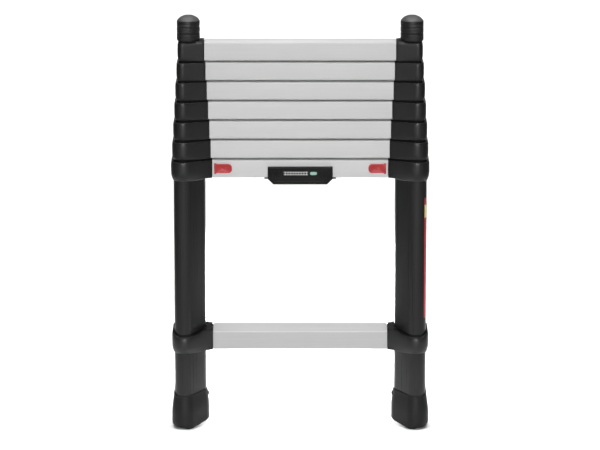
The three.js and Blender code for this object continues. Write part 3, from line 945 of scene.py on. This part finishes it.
def release_button(side):
    """A red thumb pad with a shallow hollow, a raised outer lip and a stem."""
    node = f"release_button_{side}"
    low, high = millimetres(node)
    sign = 1 if side == "left" else -1
    outer = low[0] if side == "left" else high[0]
    inner = high[0] if side == "left" else low[0]
    middle = (low[2] + high[2]) / 2
    face = -RUNG_HALF_DEPTH - FIT
    half = 7.6
    start = outer + sign * 1.2
    outline = rounded_rectangle(start, inner, middle - half, middle + half, (0.8, 6.4, 6.4, 0.8))
    centre = ((start + inner) / 2, middle)
    front = low[1]
    pad = (
        (1.0, face),
        (1.0, front + 2.2),
        (0.985, front + 1.6),
        (0.95, front + 1.3),
        (0.86, front + 1.35),
        (0.7, front + 1.9),
        (0.5, front + 2.35),
        (0.25, front + 2.55),
    )
    bm = bmesh.new()
    add_rings(bm, [scaled_ring(outline, centre, share, y) for share, y in pad], straight)
    lip_end = outer + sign * 3.6
    lip_half = 8.7
    lip_outline = rounded_rectangle(outer, lip_end, middle - lip_half, middle + lip_half, (0.9,) * 4)
    lip_centre = ((outer + lip_end) / 2, middle)
    lip_rings = ((1.0, face), (1.0, front + 0.9), (0.9, front + 0.3), (0.72, front))
    add_rings(bm, [scaled_ring(lip_outline, lip_centre, share, y) for share, y in lip_rings], straight)
    stem_start = outer + sign * 2.0
    stem_end = stem_start + sign * 8.0
    stem_half = 3.5
    stem_outline = rounded_rectangle(
        stem_start, stem_end, middle - stem_half, middle + stem_half, (0.6,) * 4
    )
    add_rings(bm, [[(x, y, z) for x, z in stem_outline] for y in (high[1], face + 0.1)], straight)
    made = finish_object(bm, f"thumb_button_{side}", RED, 45)
    settle(made, f"release_{side}", "button_red", node)


def carry_handle():
    """A front plate with cut lower corners and a bevelled lower edge, and a lip under the rung."""
    low, high = millimetres("carry_handle")
    base = RUNG_Z[SECTIONS]
    top = high[2]
    bottom = low[2]
    half = 54.4
    cut_corner = 9.5
    face = -RUNG_HALF_DEPTH - FIT
    front = low[1]

    def plate(shrink, lift, y):
        corners = (
            (-half + cut_corner + shrink * 0.4, bottom + lift),
            (half - cut_corner - shrink * 0.4, bottom + lift),
            (half - shrink, bottom + cut_corner + shrink * 0.4 + lift * 0.4),
            (half - shrink, top - shrink),
            (-half + shrink, top - shrink),
            (-half + shrink, bottom + cut_corner + shrink * 0.4 + lift * 0.4),
        )
        return [(x, y, z) for x, z in rounded_polygon(corners, (2.0, 2.0, 2.0, 1.2, 1.2, 2.0))]

    rings = [
        plate(0.0, 0.0, face),
        plate(0.0, 0.0, front + 2.6),
        plate(0.15, 0.5, front + 2.0),
        plate(0.3, 2.6, front + 0.6),
        plate(0.7, 3.2, front + 0.15),
        plate(1.2, 3.8, front),
        plate(3.0, 5.6, front),
        plate(3.5, 6.1, front + 0.5),
    ]
    bm = bmesh.new()
    add_rings(bm, rings, straight)
    ribs = 9
    pitch = 1.7
    half_rib = 0.45
    rib_low = base + 3.6
    rib_high = top - 4.4
    rib_levels = ((1.0, front + 0.7), (1.0, front + 0.3), (0.8, front + 0.05))
    for side in (-1, 1):
        for rib in range(ribs):
            x = side * (half - 6.0 - rib * pitch)
            outline = rounded_rectangle(x - half_rib, x + half_rib, rib_low, rib_high, (0.4,) * 4)
            centre = (x, (rib_low + rib_high) / 2)
            rings = [scaled_ring(outline, centre, share, y) for share, y in rib_levels]
            add_rings(bm, rings, straight)
    lip_low = base - 1.8
    lip_high = base - FIT
    lip_half = 60.0
    lip_outline = rounded_rectangle(-lip_half, lip_half, lip_low, lip_high, (0.6,) * 4)
    lip_centre = (0.0, (lip_low + lip_high) / 2)
    lip_rings = ((0.995, face + 0.1), (1.0, face + 0.8), (1.0, high[1] - 0.8), (0.995, high[1]))
    add_rings(bm, [scaled_ring(lip_outline, lip_centre, share, y) for share, y in lip_rings], straight)
    made = finish_object(bm, "grip_handle", HANDLE, 40)
    settle(made, "base", "handle_plastic", "carry_handle")


def flat_print(name, outline, y, depth, material, slot):
    """A thin raised print on a front face."""
    bm = bmesh.new()
    rings = [[(x, level, z) for x, z in outline] for level in (y, y - depth)]
    add_rings(bm, rings, straight)
    made = finish_object(bm, name, material)
    settle(made, "base", slot)


def badge():
    """A small plate printed with a plain ladder sign and a dot."""
    low, high = millimetres("badge_plate")
    outline = rounded_rectangle(low[0], high[0], low[2], high[2], (1.5,) * 4)
    centre = (0.0, (low[2] + high[2]) / 2)
    levels = ((1.0, low[1] + 0.85), (1.0, low[1] + 0.35), (0.995, low[1] + 0.2))
    bm = bmesh.new()
    add_rings(bm, [scaled_ring(outline, centre, share, y) for share, y in levels], straight)
    made = finish_object(bm, "badge_face", BADGE_BLACK)
    settle(made, "base", "badge_print", "badge_plate")

    front = low[1] + 0.25
    depth = 0.15
    middle = centre[1]
    left_end = -27.5
    right_end = 13.0
    for index, z in enumerate((middle - 2.5, middle + 1.5)):
        bar = rounded_rectangle(left_end, right_end, z, z + 1.0, (0.4,) * 4)
        flat_print(f"sign_bar_{index}", bar, front, depth, INK_WHITE, "badge_print")
    steps = 9
    for step in range(steps):
        x = left_end + 2.0 + (right_end - left_end - 5.0) * step / (steps - 1)
        rung = rounded_rectangle(x, x + 1.3, middle - 3.2, middle + 3.2, (0.4,) * 4)
        flat_print(f"sign_rung_{step}", rung, front, depth * 1.4, INK_WHITE, "badge_print")
    patch = rounded_rectangle(16.5, 28.0, middle - 2.6, middle + 2.6, (2.5,) * 4)
    flat_print("sign_patch", patch, front, depth, INK_TEAL, "badge_print")


def label_strip(name, z_low, z_high, start, end, lift, material):
    """A thin label laid round part of the right rail's outer side, between two shares of its wrap."""
    offset = OFFSETS[SECTIONS]
    reach = math.radians(40)
    inner = []
    outer = []
    for grown, row in ((offset + 0.02, inner), (offset + lift, outer)):
        depth = DEPTHS[SECTIONS]
        front = arc((CORE_BACK, -depth), grown, math.pi + reach, math.pi)
        back = arc((CORE_BACK, depth), grown, math.pi, math.pi - reach)
        path = front + back
        first = round(start * (len(path) - 1))
        last = round(end * (len(path) - 1))
        row.extend(path[first:last + 1])
    outline = outer + inner[::-1]
    rings = [[(u, v, z) for u, v in outline] for z in (z_low, z_high)]
    bm = bmesh.new()
    add_rings(bm, rings, lambda point: place(point, "right"))
    made = finish_object(bm, name, material)
    settle(made, "base", "button_red")


def label():
    low = RUNG_Z[SECTIONS] - 237
    high = RUNG_Z[SECTIONS] - 31
    label_strip("side_label", low, high, 0.0, 1.0, 0.12, LABEL_RED)
    label_strip("side_label_patch", high - 34, high - 12, 0.0, 1.0, 0.2, LABEL_YELLOW)


# ---------------------------------------------------------------- stage

def dress_hidden_steel():
    for name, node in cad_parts.items():
        if name.startswith(("lock_pin", "release_spring")):
            node.data.materials.clear()
            node.data.materials.append(STEEL)


def camera():
    data = bpy.data.cameras.new("camera")
    data.lens = CAMERA_LENS
    data.sensor_width = 36.0
    data.clip_end = 100.0
    eye = bpy.data.objects.new("camera", data)
    eye.location = (CAMERA_X, -CAMERA_DISTANCE, CAMERA_HEIGHT)
    eye.rotation_euler = (math.pi / 2 - CAMERA_TILT, 0.0, 0.0)
    bpy.context.scene.collection.objects.link(eye)
    bpy.context.scene.camera = eye


def area_light(name, at, aim, size, power, spread):
    data = bpy.data.lights.new(name, "AREA")
    data.spread = math.radians(spread)
    data.shape = "RECTANGLE"
    data.size, data.size_y = size
    data.energy = power
    lamp = bpy.data.objects.new(name, data)
    lamp.location = at
    direction = Vector(aim) - Vector(at)
    if direction.x or direction.y:
        lamp.rotation_euler = direction.to_track_quat("-Z", "Y").to_euler()
    bpy.context.scene.collection.objects.link(lamp)


def studio():
    bm = bmesh.new()
    half = 30.0
    corners = ((-half, -half), (half, -half), (half, half), (-half, half))
    bm.faces.new([bm.verts.new((x, y, -0.0005)) for x, y in corners])
    nodes = Nodes("studio_floor")
    mottle = nodes.noise(0.8, (1, 1, 1), 2.0)
    color = nodes.mix(mottle, (0.9, 0.9, 0.9), (0.92, 0.92, 0.92))
    rough = nodes.ramp(mottle, 0.85, 0.95)
    material = nodes.finish(color, rough, 0.0, Specular_IOR_Level=0.1)
    floor = finish_object(bm, "studio_floor", material)

    world = bpy.data.worlds.new("studio")
    world.use_nodes = True
    world.node_tree.nodes["Background"].inputs["Color"].default_value = (1.0, 1.0, 1.0, 1.0)
    world.node_tree.nodes["Background"].inputs["Strength"].default_value = WORLD
    bpy.context.scene.world = world
    bpy.context.scene.view_settings.view_transform = "Standard"

    for name, at, size, power, spread in (
        ("near_panel", (0.0, 0.53, 1.2), (1.8, 1.94), NEAR_PANEL, 40),
        ("front_panel", (0.0, -1.85, 1.2), (4.6, 1.7), FRONT_PANEL, 40),
        ("far_panel", (0.0, 4.0, 1.8), (3.4, 5.0), FAR_PANEL, 60),
    ):
        area_light(name, at, (at[0], at[1], 0.0), size, power, spread)
    area_light("front_box", (0.0, -7.5, 1.9), (0.0, 0.0, 0.35), (2.0, 2.4), FRONT_BOX, 24)
    area_light("low_panel", (0.0, 0.6, 0.1), (0.0, 0.0, 0.0), (0.24, 0.14), LOW_PANEL, 90)


for part in range(1, SECTIONS + 1):
    for hand in SIDES:
        rail_tube(part, hand)
for part in range(1, LOWER_RUNG + 1):
    for hand in SIDES:
        collar(part, hand)
    tread = rung_tube(part)
    if part == SECTIONS:
        cut_button_slots(tread)
for hand in SIDES:
    groove_shade_ring(hand)
    top_cap(hand)
    foot(hand)
    foot_rivet(hand)
    release_button(hand)
carry_handle()
badge()
label()
dress_hidden_steel()
camera()
studio()
